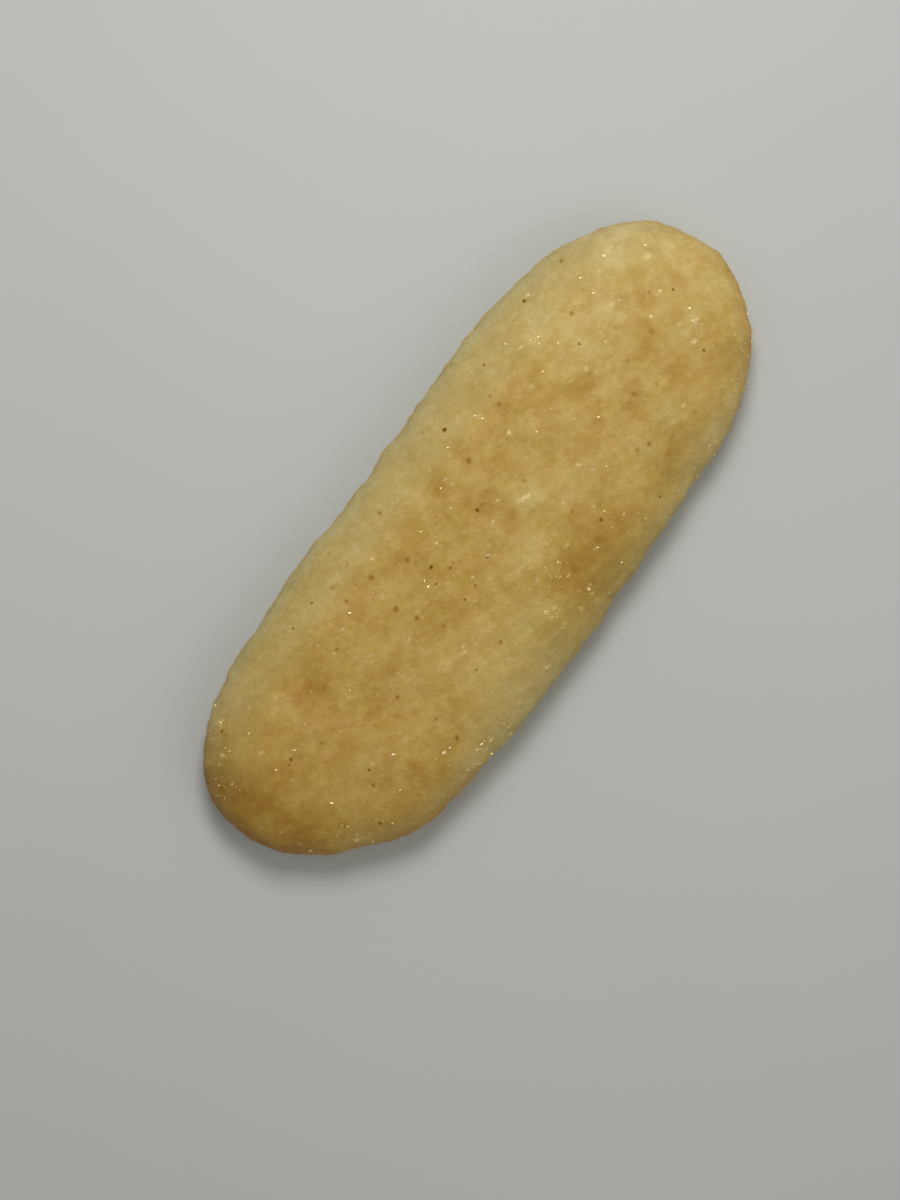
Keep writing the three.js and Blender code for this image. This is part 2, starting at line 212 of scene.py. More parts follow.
# Pale smears of the shown face, where grains have melted in, and about (6.7, -0.5) a painted highlight of a
# glossy streak: where, half their length and width, how strong
SMEARS_AND_HIGHLIGHT = [
    (27.8, 4.6, 0.55, 0.4, 0.6), (28.6, 4.3, 0.4, 0.16, 0.6), (27.6, 2.7, 0.3, 0.2, 0.65),
    (21, 2.6, 0.26, 0.22, 0.9), (20.4, 3.8, 0.22, 0.16, 0.5), (24.4, 2.6, 0.3, 0.18, 0.8),
    (29.4, 0.5, 0.28, 0.2, 0.7), (31.9, 1.4, 0.36, 0.26, 0.7), (34.1, 4.6, 0.5, 0.3, 0.8),
    (32.4, 8.2, 0.6, 0.3, 0.6), (30.2, 7.6, 0.9, 0.35, 0.35), (25.6, 7.6, 0.6, 0.25, 0.4),
    (22.9, 5, 0.5, 0.25, 0.65), (20, 8.7, 0.6, 0.3, 0.65), (18.6, 9.3, 0.5, 0.22, 0.7),
    (16, 6, 0.4, 0.22, 0.4), (23.4, 12, 0.4, 0.2, 0.8), (30.5, -2.3, 0.4, 0.22, 0.5),
    (30, -4.6, 0.38, 0.24, 1), (31.9, -3.4, 0.5, 0.25, 0.8), (24, -7.7, 0.45, 0.22, 0.5),
    (22, -8, 0.6, 0.25, 0.4), (16, 0.4, 0.5, 0.18, 0.4), (12.6, -2.8, 0.26, 0.18, 0.8),
    (10.9, 4.9, 0.3, 0.22, 1), (10.4, 8.4, 0.5, 0.25, 0.5), (10.1, -6.7, 0.3, 0.2, 0.4),
    # The smears at (6, -0.2), (6.7, -0.5) and (7.5, -1.2) are a painted highlight: a glossy streak's shine
    # drawn as pale colour
    (8.4, -3.9, 0.6, 0.12, 0.6), (6, -0.2, 0.4, 0.14, 0.5), (6.7, -0.5, 0.85, 0.16, 1.2),
    (7.5, -1.2, 0.5, 0.12, 0.5), (4.5, 1.6, 0.4, 0.18, 0.6), (2.5, 0.6, 0.28, 0.2, 0.7),
    (2.4, -2, 0.3, 0.18, 0.4), (3, 7.2, 0.35, 0.2, 0.5), (1, 5, 0.35, 0.2, 0.6),
    (4.1, -5.1, 0.35, 0.2, 0.5), (5.4, -5.3, 0.3, 0.18, 0.2), (5.2, -6.9, 0.3, 0.2, 0.5),
    (0.6, -6.8, 0.3, 0.2, 0.3), (1.4, -7.6, 0.3, 0.2, 0.3), (1.9, -6.6, 0.25, 0.18, 0.5),
    (2, -8.1, 0.28, 0.18, 0.35), (2.8, -8.9, 0.28, 0.22, 0.5), (3.3, -7.4, 0.25, 0.18, 0.5),
    (-1.6, -9.4, 0.3, 0.24, 0.8), (-0.7, -9.8, 0.3, 0.22, 0.6), (-1.7, -10.2, 0.35, 0.25, 0.5),
    (3.1, -11.4, 0.26, 0.22, 0.7), (2.8, -12, 0.26, 0.2, 0.4), (0.9, -12.1, 0.26, 0.2, 0.5),
    (-6, -12.9, 0.6, 0.18, 0.5), (-8.1, 8.3, 0.35, 0.2, 0.8), (-12.5, 0.2, 0.4, 0.18, 0.5),
    (-10.2, -5.1, 0.6, 0.14, 0.6), (-9.6, -4.7, 0.45, 0.12, 0.5), (-11.3, -6.4, 0.4, 0.18, 0.4),
    (-31.1, 5.3, 0.4, 0.26, 0.55), (-28.8, 2.8, 0.3, 0.2, 0.4), (-26, 3.5, 0.25, 0.18, 0.5),
    (-15.8, 6.3, 0.35, 0.18, 0.5), (-18.2, 5.4, 0.35, 0.18, 0.4), (-24.8, 6.4, 0.35, 0.18, 0.4),
    (-25, -4.6, 0.3, 0.2, 0.6), (-22.9, -5.8, 0.35, 0.2, 0.3), (-32.2, -8.1, 0.35, 0.2, 0.5),
    (-33.7, 8.3, 0.4, 0.28, 0.5), (-31, 10.6, 0.5, 0.26, 0.45), (-17.2, -12.4, 1, 0.7, 0.25),
    (-18.6, -13.2, 0.7, 0.2, 0.35), (-19.5, -9.9, 0.5, 0.26, 0.3), (-35, 9, 1.2, 0.8, 0.15),
]

# Clear grains of the shown face that flash in the window light: where and how wide
FLASHING_GRAINS = [
    (-30, 12, 0.3), (-31.1, 10.5, 0.3), (-30.2, 7.5, 0.25), (-36.4, 6.7, 0.25),
    (-31.6, 3, 0.22), (-28.8, 2.8, 0.27), (-20.3, 1.8, 0.24), (-13.9, 6.7, 0.34), (-30.8, -3.8, 0.33),
    (-36.7, -5.3, 0.25), (-31.8, -6.5, 0.25), (-31.3, -9.5, 0.24), (-28.7, -10, 0.24),
    (-25.4, -8.5, 0.24), (-22.9, -5.8, 0.36), (-19.6, -9.8, 0.36), (-18.9, -9.9, 0.28),
    (-17.3, -12.4, 0.32), (-16.5, -12.3, 0.3), (-16.7, -13.8, 0.32), (-8.1, 8.3, 0.3),
    (-2.8, 6.1, 0.32), (-2.7, 3.9, 0.24), (-6.7, 2.6, 0.28), (-6.9, 1.8, 0.38), (5.8, 9, 0.36),
    (10.1, 8.7, 0.38), (10.5, 8, 0.28), (1.9, 7.1, 0.25), (1, 5, 0.28), (10.9, 4.9, 0.32),
    (4.5, 1.6, 0.3), (2.6, 0.6, 0.25), (12.6, -2.8, 0.24), (12.7, 2.6, 0.22), (3.4, -7.3, 0.24),
    (-1.6, -9.4, 0.25), (6.9, -9.6, 0.22), (10.4, -7.8, 0.25), (3.1, -11.4, 0.28), (7.3, -12.5, 0.24),
    (18, 10.8, 0.24), (19.7, 9, 0.28), (20.6, 8.5, 0.4), (20.1, 8.1, 0.26), (18, 6.1, 0.34),
    (21.3, 6.6, 0.25), (28, 8.7, 0.38), (27.6, 6.8, 0.38), (31.4, 8.2, 0.38), (34.8, 5.4, 0.38),
    (34.2, 4.6, 0.3), (24.5, 2.6, 0.26), (31.9, 1.5, 0.34), (29.4, 0.5, 0.32), (17.8, -1.4, 0.32),
    (32.6, -2.2, 0.34), (31.8, -3.3, 0.27), (32, -4.2, 0.25), (30, -4.6, 0.24), (14.2, -5.3, 0.22),
    (23.4, 12, 0.25), (35.6, -7.4, 0.32),
]

# Clusters of small grains: where, how far they reach, how many there are and how wide the widest is
GRAIN_CLUSTERS = [
    (-33.6, 8.4, 0.4, 3, 0.42), (-31, 10.7, 0.8, 6, 0.34), (-36.8, 5.5, 0.9, 4, 0.34),
    (-31.8, -7.2, 0.9, 4, 0.32), (-19.6, -10, 0.6, 6, 0.34), (-17, -12.8, 1.1, 14, 0.38),
    (-7, 2.2, 0.5, 3, 0.3), (2.4, -7.6, 1.1, 7, 0.24), (-1.2, -9.8, 0.6, 4, 0.32),
    (3, -11.6, 0.8, 5, 0.3), (16, 14.1, 0.5, 5, 0.46), (20.2, 8.8, 0.7, 5, 0.32),
    (28.2, 12.9, 0.6, 5, 0.4), (28, 4.4, 0.8, 4, 0.32), (31.8, -3.2, 0.9, 5, 0.3),
    (33.5, -9.3, 1, 22, 0.36), (36.4, -6.2, 0.6, 8, 0.34), (30.6, -11.3, 0.8, 12, 0.34),
    (22.6, -13.1, 0.6, 6, 0.36), (18.8, -13.6, 0.5, 5, 0.34), (-13.2, -14, 0.6, 5, 0.34),
    (-35.2, 7.5, 0.8, 5, 0.3),
]
SMALLEST_GRAIN = 0.16
MELTED_WIDTH = 0.34  # widest of the grains that have melted into the smears
MILKY_FROM = 0.4  # how far a grain has melted, from 0 to 1, when it begins to look milky
CLUSTER_SMALLNESS = 1.4  # the greater it is, the more of the grains are small
CHANCE_GRAINS = {
    "count": 800, "widest": 0.42, "smallness": 2.2, "strength": (0.2, 1.0), "crowd_span": 5.0,
}

# How far small things may lean off the skin, or off the way that flashes, and how far flashing and
# melted grains may be turned from the drawn-out way
LYING_TILT = math.radians(8)
LOOSE_TILT = math.radians(24)
FLASH_TILT = math.radians(3)
DRAWN_SWAY = math.radians(25)

# How grains and specks are shaped: breadth and height as shares of their length, and how far they are sunk
CRYSTAL = {"across": (0.42, 0.72), "tall": (0.45, 0.65), "sunk": 0.04}
FLAKE = {"across": (0.4, 0.8), "tall": (0.5, 0.7), "sunk": 0.08}
CORNER_UNEVENNESS = (0.92, 1.08)
PRESSED_IN = 0.012  # how far above the table they end, inside the skin that touches it

# Their unit forms
UNIT_RADIUS = 0.5
FLAKE_FLATNESS = 0.5
BLOCK_SIZE = 0.9
BLOCK_CUT = 0.16

SEED = 3417


def paint(red, green, blue):
    """A colour stated as it looks on a screen, from 0 to 255, as light values by the sRGB curve."""
    shares = [channel / 255 for channel in (red, green, blue)]
    return (*(((s + 0.055) / 1.055) ** 2.4 if s > 0.04 else s / 12.92 for s in shares), 1.0)


PALE = paint(212, 187, 116)
GOLD = paint(202, 168, 90)
BROWN = paint(189, 147, 64)
YELLOW = paint(206, 175, 78)
RUDDY = paint(206, 160, 92)
SIDE = paint(200, 176, 108)
# The pale rim's colour, partly a painted sheen of light grazing the steep rim
RIM_PALE_AND_SHEEN = paint(199, 183, 126)
RIM_TAN = paint(196, 152, 84)
CREAM = paint(230, 210, 148)
# Pale smear colour, also used for a painted highlight of a glossy streak
SMEAR_AND_HIGHLIGHT = paint(242, 216, 148)
BLOT = paint(152, 102, 14)
SCORCH = paint(140, 94, 10)
SOFT_SPECK = paint(160, 116, 34)
SPECK = paint(108, 70, 2)
PEACH = paint(218, 187, 122)
GRAIN = paint(241, 213, 155)
GLINT = paint(255, 236, 188)
FLOOR = paint(205, 208, 202)
FLOOR_SHADE = 0.97  # how light the floor's darker blotches are beside the rest

# Masks and kept values that go both ways stand at this where they change nothing
MIDDLE = 0.5

# Masks of the crust, by the effect that makes them: sizes in millimetres, and where in the noise they lie
CRUST_MASKS = {
    "blotches": {
        "broad": {"Size": 4.5, "Shift": 1.0},
        "middling": {"Size": 2.1, "Shift": 2.0},
        "small": {"Size": 0.85, "Shift": 8.0},
        "fine": {"Size": 0.4, "Shift": 3.0},
        "yellow": {"Size": 1.5, "Softness": 0.2, "Shift": 10.0},
        "ruddy": {"Size": 2.6, "Softness": 0.2, "Shift": 12.0},
    },
    "streaks": {
        "broad_streaks": {"Length": 3.4, "Width": 1.1, "Shift": 4.0},
        "fine_streaks": {"Length": 0.6, "Width": 0.2, "Shift": 6.0},
    },
    "dots": {
        "pale_dots": {"Spacing": 0.8, "Width": 0.24, "Share": 0.3},
        "brown_dots": {"Spacing": 1.9, "Width": 0.5, "Share": 0.25},
    },
}
SPECK_BLOTCHES = {"Size": 0.2, "Softness": 0.25, "Shift": 5.0}
GRAIN_CLOUDS = {"Size": 0.3, "Softness": 0.3, "Shift": 7.0}
FLOOR_BLOTCHES = {"Size": 60.0, "Softness": 0.3, "Shift": 9.0}
DOT_NARROWNESS = 0.6  # how wide a dot is beside its length
DOT_EDGES = {"scale": 3.0, "pull": 0.3}  # the noise that makes the dots' edges uneven

# How strongly masks sway the values kept at the crust's points, and the height of its finest texture
MOTTLING = {
    "toasted": {"broad": 0.16, "middling": 0.15, "small": 0.11, "broad_streaks": 0.1},
    "side": {"middling": 0.2, "small": 0.2},
    "baked_and_shaded": {
        "broad": 0.07, "middling": 0.13, "small": 0.12,
        "fine": 0.11, "broad_streaks": 0.09, "fine_streaks": 0.11,
    },
    "smeared_and_highlight": {"fine_streaks": 0.3, "fine": 0.2},
    "height": {"fine": 1.0, "fine_streaks": 1.2, "small": 1.0},
}

# Tints laid over the crust in turn, before and after baking and painted shade darken it, each by the mask
# or
# kept value of its name: the colour, and how far it covers what lies under it
UNBAKED_TINTS = {
    "yellow": (YELLOW, 0.35),
    "ruddy": (RUDDY, 0.3),
    "side": (SIDE, 0.75),
    # the pale rim is partly a painted sheen
    "pale_rim_and_sheen": (RIM_PALE_AND_SHEEN, 0.8),
    "tanned": (RIM_TAN, 0.75),
}
BAKED_TINTS = {
    "pale_dots": (CREAM, 0.4),
    "brown_dots": (BLOT, 0.2),
    "freckled": (BLOT, 0.9),
    "scorched": (SCORCH, 0.85),
    # pale smears, one of them a painted highlight
    "smeared_and_highlight": (SMEAR_AND_HIGHLIGHT, 0.9),
}

# How fine blotches weaken or strengthen some tints, and between which values some come up softly
FINE_CHANGE = {"freckled": (0.85, 1.3), "scorched": (0.75, 1.3)}
SOFT_RISE = {"side": (0.0, 1.0), "freckled": (0.05, 0.7), "scorched": (0.1, 0.8), "smeared_and_highlight": (0.05, 0.75)}

# What full baking and painted shade add to a colour's gamma and to its lightness, which are both 1 without
# them
BAKED_AND_SHADED_RICHER = 0.8
BAKED_AND_SHADED_DARKER = -0.3

# Finishes: what is the same all over a piece, and how rough each is at its smoothest and at its roughest
CRUST_ROUGHNESS = (0.52, 0.7)
CRUST_BUMP = {"Strength": 0.9, "Distance": 0.022 * MM}
CRUST_FINISH = {
    "Specular IOR Level": 0.2,
    "Subsurface Weight": 0.12,
    "Subsurface Radius": (1.0, 0.75, 0.5),
    "Subsurface Scale": 0.5 * MM,
    "Coat Weight": 0.03,
    "Coat Roughness": 0.3,
}
SPECK_CORE = (0.0, 0.7)  # where a speck goes from soft to dark, from 0 at its edge to 1 at its core
SPECK_DARKNESS = (0.3, 1.0)
SPECK_MOTTLING = 0.2
SPECK_ROUGHNESS = (0.65, 0.85)
SPECK_FINISH = {"Specular IOR Level": 0.05}
GRAIN_CLOUDINESS = 0.5
GRAIN_MOTTLING = 0.1
GRAIN_ROUGHNESS = (0.12, 0.6)
GRAIN_FINISH = {"IOR": 1.65, "Specular Tint": GLINT}
FLOOR_FINISH = {"Roughness": 0.9}


def add_object(name, data):
    """A new object in the scene: a piece, the camera or a light."""
    added = bpy.data.objects.new(name, data)
    bpy.context.scene.collection.objects.link(added)
    return added


def direction(side_angle, height_angle):
    """The way out from the cracker at two angles in degrees, round from +X and up from the floor."""
    side, up = math.radians(side_angle), math.radians(height_angle)
    return Vector((math.cos(side) * math.cos(up), math.sin(side) * math.cos(up), math.sin(up)))


def camera_place():
    """Where the camera stands, in millimetres."""
    return Vector((*VIEW_CENTRE, RIM_HEIGHT + CAMERA_HEIGHT))


def look_down():
    """The camera, straight above, turned as the photograph is."""
    data = bpy.data.cameras.new("camera")
    data.sensor_width = SENSOR
    data.lens = SENSOR * CAMERA_HEIGHT / VIEW_LONG_SIDE
    data.clip_start = NEAREST_SEEN * MM
    camera = add_object("camera", data)
    camera.location = camera_place() * MM
    camera.rotation_euler = (0, 0, VIEW_TURN)
    bpy.context.scene.camera = camera


# Form of the crust


def add_modifier(piece, name, kind, **settings):
    """Gives a piece one more modifier, with its settings."""
    made = piece.modifiers.new(name, kind)
    for setting, value in settings.items():
        setattr(made, setting, value)


def work_in_modifiers(piece):
    """Turns what the piece's modifiers show into its own mesh."""
    graph = bpy.context.evaluated_depsgraph_get()
    shown = bpy.data.meshes.new_from_object(piece.evaluated_get(graph))
    piece.modifiers.clear()
    piece.data = shown


def read(values, field):
    """A mesh's vectors of one kind, as rows of three numbers."""
    rows = np.empty(len(values) * 3, np.float32)
    values.foreach_get(field, rows)
    return rows.reshape(-1, 3).astype(float)


def even_skin():
    """The solid's skin, rounded over its facets and divided into small even faces."""
    solid = bmesh.new()
    solid.from_mesh(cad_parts["cracker"].data)
    bmesh.ops.remove_doubles(solid, verts=solid.verts, dist=SAME_CORNER * MM)
    mesh = bpy.data.meshes.new("cracker_crust")
    solid.to_mesh(mesh)
    solid.free()
    crust = add_object("cracker_crust", mesh)
    add_modifier(crust, "rounded", "SUBSURF", levels=FACET_ROUNDING)
    add_modifier(crust, "evened", "REMESH", mode="VOXEL", voxel_size=FACE_SIZE * MM)
    add_modifier(crust, "eased", "SMOOTH", **SKIN_SMOOTHING)
    work_in_modifiers(crust)
    return crust


def waves(points, span, use):
    """Smooth noise from -1 to 1 at each point for one use, with waves about as long as the span."""
    return np.array([noise.noise(Vector(p)) for p in points / span + NOISE_SHIFTS[use]])


def blisters(points, span):
    """Round bumps from 0 to 1 that crowd against each other, each with its own height."""
    heights = []
    for p in points / span:
        distances, middles = noise.voronoi(Vector(p))
        own = 0.5 + 0.5 * noise.cell(middles[0] * BLISTER_MIX)
        heights.append(own * max(0.0, 1 - (distances[0] / BLISTER_REACH) ** 2))
    return np.array(heights)


def turned(where, angle):
    """Places in plan as seen along and across a way that is an angle round from +X."""
    cos, sin = math.cos(angle), math.sin(angle)
    return where[:, 0] * cos + where[:, 1] * sin, where[:, 1] * cos - where[:, 0] * sin


def wrinkles(points):
    """Fine drawn-out wrinkles from -1 to 1 that all run one way."""
    along, across = turned(points, DRAWN_TURN)
    drawn = [along / WRINKLES["length"], across / WRINKLES["width"], points[:, 2] / WRINKLES["width"]]
    return waves(np.stack(drawn, 1), 1.0, "wrinkles")


def pits(points, chance):
    """How deep small open pits of the skin reach at each point."""
    depth = np.zeros(len(points))
    for _ in range(PITS["count"]):
        centre = points[chance.randrange(len(points))]
        radius = chance.uniform(*PITS["radius"])
        share = np.linalg.norm(points - centre, axis=1) / radius
        depth += chance.uniform(*PITS["depth"]) * np.clip(1 - share**2, 0, 1) ** 2
    return depth


def steepness(normals):
    """How steep the skin is at each point, from 0 where it lies level to 1 where it is upright."""
    return 1 - np.abs(normals[:, 2])


def relief(points, normals, chance):
    """How far each point of the skin rises into its fine relief."""
    rise = SKIN_EASE + WRINKLES["rise"] * wrinkles(points)
    for span, height in BLISTERS:
        rise += height * (blisters(points, span) - BLISTER_LEVEL)
    for span, height in RELIEF:
        rise += height * waves(points, span, "relief")
    for span, height in RIM_CRAGS:
        rise += height * steepness(normals) * waves(points, span, "rim_crags")
    return rise - pits(points, chance)


def raise_relief(crust, chance):
    """Moves the skin's points along its normals into its relief, and gives back the points and normals."""
    mesh = crust.data
    points = read(mesh.vertices, "co") / MM
    normals = read(mesh.vertex_normals, "vector")
    raised = points + normals * relief(points, normals, chance)[:, None]
    raised[:, 2] = np.maximum(raised[:, 2], LOW[2])
    mesh.vertices.foreach_set("co", (raised * MM).astype(np.float32).ravel())
    mesh.update()
    return raised, normals


def as_seen(points):
    """Where the camera sees points of the skin, in plan at the rim's height, as places are stated here."""
    centre = np.array(VIEW_CENTRE)
    nearness = CAMERA_HEIGHT / (CAMERA_HEIGHT + RIM_HEIGHT - points[:, 2:])
    return centre + (points[:, :2] - centre) * nearness


# Browning of the crust, kept as values at its points


def ease(value, low, high):
    """0 below low, 1 above high, and a smooth step between."""
    share = np.clip((value - low) / (high - low), 0, 1)
    return share * share * (3 - 2 * share)


def pulled_about(points):
    """A shift in plan for each point by noise, so that what is drawn there gets an uneven edge."""
    shift = np.zeros((len(points), 2))
    for span, pull in PLACE_PULLS:
        both_ways = [waves(points, span, use) for use in ("pull_along", "pull_across")]
        shift += pull * np.stack(both_ways, 1)
    return shift


def soft_places(where, places, turn=0.0):
    """The sum of some soft oval places at each point, with their length an angle round from +X."""
    total = np.zeros(len(where))
    for x, y, along, across, strength in places:
        ahead, aside = turned(where - (x, y), turn)
        total += strength * np.exp(-PLACE_FADE * ((ahead / along) ** 2 + (aside / across) ** 2))
    return total


def slopes(where, rows):
    """The sum of some broad changes over the cracker at each point."""
    return sum(most * ease(where @ np.array(way), start, end) for way, start, end, most in rows)


def past_face(where):
    """How far each point lies past the browned face, from 0 on it to 1 on the side."""
    past_flank = np.maximum(np.abs(where[:, 0]) - (LENGTH - WIDTH) / 2, 0)
    out = np.hypot(past_flank, where[:, 1] - FACE_MIDDLE)
    return ease(out, FACE_REACH - FACE_FADE, FACE_REACH + FACE_FADE)


def browning(points, where, side):
    """How the crust is toasted, from -1 to 1, and how much darker it is by baking and painted shade, both
    changed by its side.
    """
    toasted = soft_places(where, TOASTED_PLACES) * (1 - SIDE_HOLDS_OFF * side)
    toasted += slopes(points[:, :2], TOASTED_SLOPES) - SIDE_TOASTED_LESS * side
    baked_and_shaded = soft_places(where, BAKED_AND_SHADED_PLACES) + slopes(points[:, :2], BAKED_AND_SHADED_SLOPES)
    baked_and_shaded += TOASTED_BAKED_MORE * toasted + SIDE_BAKED_MORE * side
    return toasted, baked_and_shaded


def rim_shades(points, steep, where, paleness):
    """How far the rim is tanned at each point, and how far it is paler where it isn't, partly a painted
    sheen.
    """
    tanned = RIM_TANNED["all_round"] * ease(steep, *RIM_TANNED["upright"])
    tanned += ease(steep, *RIM_TANNED["in_places"]) * soft_places(where, TAN_PLACES)
    tanned *= TAN_WAVES["middle"] + TAN_WAVES["sway"] * waves(points, TAN_WAVES["span"], "tan")
    tanned = np.clip(tanned, 0, 1)
    least = RIM_PALED_AND_SHEEN["least"]
    # painted sheen: the steep rim made paler as if grazing light shone on it, as well as its own paler
    # colour
    paled_and_sheen = ease(steep, *RIM_PALED_AND_SHEEN["steep"]) * (least + (1 - least) * paleness)
    return tanned, paled_and_sheen * (1 - RIM_PALED_AND_SHEEN["tan_hides"] * tanned)


def keep_values(piece, name, values):
    """Keeps one number from 0 to 1 for each point of a piece under that name."""
    kept = piece.data.attributes.new(name, "FLOAT", "POINT")
    kept.data.foreach_set("value", np.clip(values, 0, 1).astype(np.float32))


def brown_crust(crust, points, normals):
    """Writes how the crust is browned and painted in shade and light, where its pale side and rim are, and
    where grains have melted in.
    """
    where = as_seen(points) + pulled_about(points)  # the underside is browned like the face above it
    paleness = np.clip(PALE_ALL_ROUND + slopes(where, PALE_SLOPES) + soft_places(where, PALE_PLACES), 0, 1)
    side = np.clip(past_face(where) * paleness + soft_places(where, PALE_PATCHES), 0, 1)
    toasted, baked_and_shaded = browning(points, where, side)
    tanned, paled_and_sheen = rim_shades(points, steepness(normals), where, paleness)
    keep_values(crust, "toasted", MIDDLE * (1 + toasted))
    keep_values(crust, "baked_and_shaded", MIDDLE + baked_and_shaded)
    keep_values(crust, "side", side)
    keep_values(crust, "tanned", tanned)
    keep_values(crust, "pale_rim_and_sheen", paled_and_sheen)
    # pale smears, and a painted highlight of a glossy streak
    keep_values(crust, "smeared_and_highlight", soft_places(as_seen(points), SMEARS_AND_HIGHLIGHT, DRAWN_TURN))


def spots(points, places, reach):
    """The strongest of some small soft spots at each point, one round each of some small things."""
    strongest = np.zeros(len(points))
    for thing in places:
        gap = np.linalg.norm(points - points[thing["index"]], axis=1) / (reach * thing["width"])
        strongest = np.maximum(strongest, thing["strength"] * np.exp(-SPOT_FADE * gap**2))
    return strongest


# Small things on the crust


def nearest_on_top(seen, normals, x, y):
    """The shown face's point that the camera sees nearest to a place."""
    gap = np.hypot(seen[:, 0] - x, seen[:, 1] - y)
    return int(np.argmin(np.where(normals[:, 2] > FACING_UP, gap, np.inf)))


def mostly_hidden(normals, chance):
    """A point picked by chance, seldom on the shown face, whose own small things are all listed."""
    while True:
        index = chance.randrange(len(normals))
        if normals[index][2] < 0 or chance.random() < SHOWN_BY_CHANCE:
            return index


def any_turn(chance):
    """Any angle."""
    return chance.uniform(0, math.tau)


def leaning(way, most, chance):
    """A direction that leans away from another by up to an angle, to any side."""
    level = Vector(way).to_track_quat("Z", "Y").to_matrix()
    turn = level @ Matrix.Rotation(any_turn(chance), 3, "Z")
    return turn @ Matrix.Rotation(chance.uniform(0, most), 3, "X") @ Vector((0, 0, 1))


def drawn_turn(chance):
    """An angle near that of the drawn-out way."""
    return DRAWN_TURN + chance.uniform(-DRAWN_SWAY, DRAWN_SWAY)


def small_thing(index, width, up, strength, turn):
    """One speck, freckle or grain. Its strength is how dark, brown or melted it is."""
    return {"index": index, "width": width, "up": up, "strength": strength, "turn": turn}


def spot_places(seen, normals, shown, by_chance, chance):
    """The shown specks or freckles, and some more placed by chance."""
    for x, y, width, strength in shown:
        index = nearest_on_top(seen, normals, x, y)
        up = leaning(normals[index], LYING_TILT, chance)
        yield small_thing(index, width, up, strength, any_turn(chance))
    for _ in range(by_chance["count"]):
        index = mostly_hidden(normals, chance)
        up = leaning(normals[index], LYING_TILT, chance)
        width, strength = chance.uniform(*by_chance["width"]), chance.uniform(*by_chance["strength"])
        yield small_thing(index, width, up, strength, any_turn(chance))


def flashing(point):
    """The way a flat face is turned at a point for the camera to see the window light flash in it."""
    window = direction(*WINDOW_LIGHT["angles"]) * WINDOW_LIGHT["distance"]
    return (window - Vector(point)).normalized() + (camera_place() - Vector(point)).normalized()


def flashing_grains(points, seen, normals, chance):
    """The grains that flash, which are quite clear."""
    for x, y, width in FLASHING_GRAINS:
        index = nearest_on_top(seen, normals, x, y)
        up = leaning(flashing(points[index]), FLASH_TILT, chance)
        yield small_thing(index, width, up, 0.0, drawn_turn(chance))


def melted_grains(seen, normals, chance):
    """The grains that have half melted into the pale smears, one in the middle of each."""
    for x, y, along, _, strength in SMEARS_AND_HIGHLIGHT:
        index = nearest_on_top(seen, normals, x, y)
        up = leaning(normals[index], LYING_TILT, chance)
        melted = MILKY_FROM + (1 - MILKY_FROM) * strength
        yield small_thing(index, min(along, MELTED_WIDTH), up, melted, drawn_turn(chance))


def grain_width(widest, smallness, chance):
    """A width up to the widest, more often a small one the greater the smallness is."""
    return SMALLEST_GRAIN + (widest - SMALLEST_GRAIN) * chance.random() ** smallness


def clustered_grains(seen, normals, chance):
    """The grains that lie in clusters on the shown face."""
    for x, y, reach, count, widest in GRAIN_CLUSTERS:
        for _ in range(count):
            aside, ahead = chance.gauss(0, reach), chance.gauss(0, reach)
            index = nearest_on_top(seen, normals, x + aside, y + ahead)
            width = grain_width(widest, CLUSTER_SMALLNESS, chance)
            up = leaning(normals[index], LOOSE_TILT, chance)
            yield small_thing(index, width, up, chance.uniform(MILKY_FROM, 1), any_turn(chance))


def crowded_point(points, normals, chance):
    """A mostly hidden point, picked more often where grains lie thick."""
    while True:
        index = mostly_hidden(normals, chance)
        crowd = 0.5 + 0.5 * noise.noise(Vector(points[index] / CHANCE_GRAINS["crowd_span"]))
        if chance.random() < crowd**2:
            return index


def chance_grains(points, normals, chance):
    """The grains spread over the rest of the skin."""
    for _ in range(CHANCE_GRAINS["count"]):
        index = crowded_point(points, normals, chance)
        width = grain_width(CHANCE_GRAINS["widest"], CHANCE_GRAINS["smallness"], chance)
        up = leaning(normals[index], LOOSE_TILT, chance)
        yield small_thing(index, width, up, chance.uniform(*CHANCE_GRAINS["strength"]), any_turn(chance))


def set_down(up, turn):
    """A turn that points a thing's height along the upward way and its length along an angle in plan."""
    across = up.cross(Vector((math.cos(turn), math.sin(turn), 0))).normalized()
    return Matrix((across.cross(up), across, up.normalized())).transposed()


def uneven_copy(thing, middle, unit, shape, chance):
    """The corners of one uneven copy of a unit form, stretched, turned and kept above the table."""
    turn = set_down(thing["up"], thing["turn"])
    stretch = Vector((1, chance.uniform(*shape["across"]), chance.uniform(*shape["tall"])))
    corners = []
    for corner in unit["corners"]:
        uneven = Vector(a * b for a, b in zip(corner, stretch)) * chance.uniform(*CORNER_UNEVENNESS)
        spot = middle + turn @ uneven * thing["width"]
        spot.z = max(spot.z, LOW[2] + PRESSED_IN)
        corners.append(spot * MM)
    return corners


def scatter(name, places, points, normals, unit, shape, chance):
    """One mesh of a small uneven copy of a unit form at each place, sunk a little into the skin."""
    verts, faces = [], []
    for thing in places:
        deep = shape["sunk"] * thing["width"]
        middle = Vector(points[thing["index"]] - normals[thing["index"]] * deep)
        faces += [[len(verts) + corner for corner in face] for face in unit["faces"]]
        verts += uneven_copy(thing, middle, unit, shape, chance)
    mesh = bpy.data.meshes.new(name)
    mesh.from_pydata(verts, [], faces)
    piece = add_object(name, mesh)
    strengths = [thing["strength"] for thing in places]
    keep_values(piece, "strength", np.repeat(strengths, len(unit["corners"])))
    keep_values(piece, "core", np.tile(unit["cores"], len(places)))
    return piece


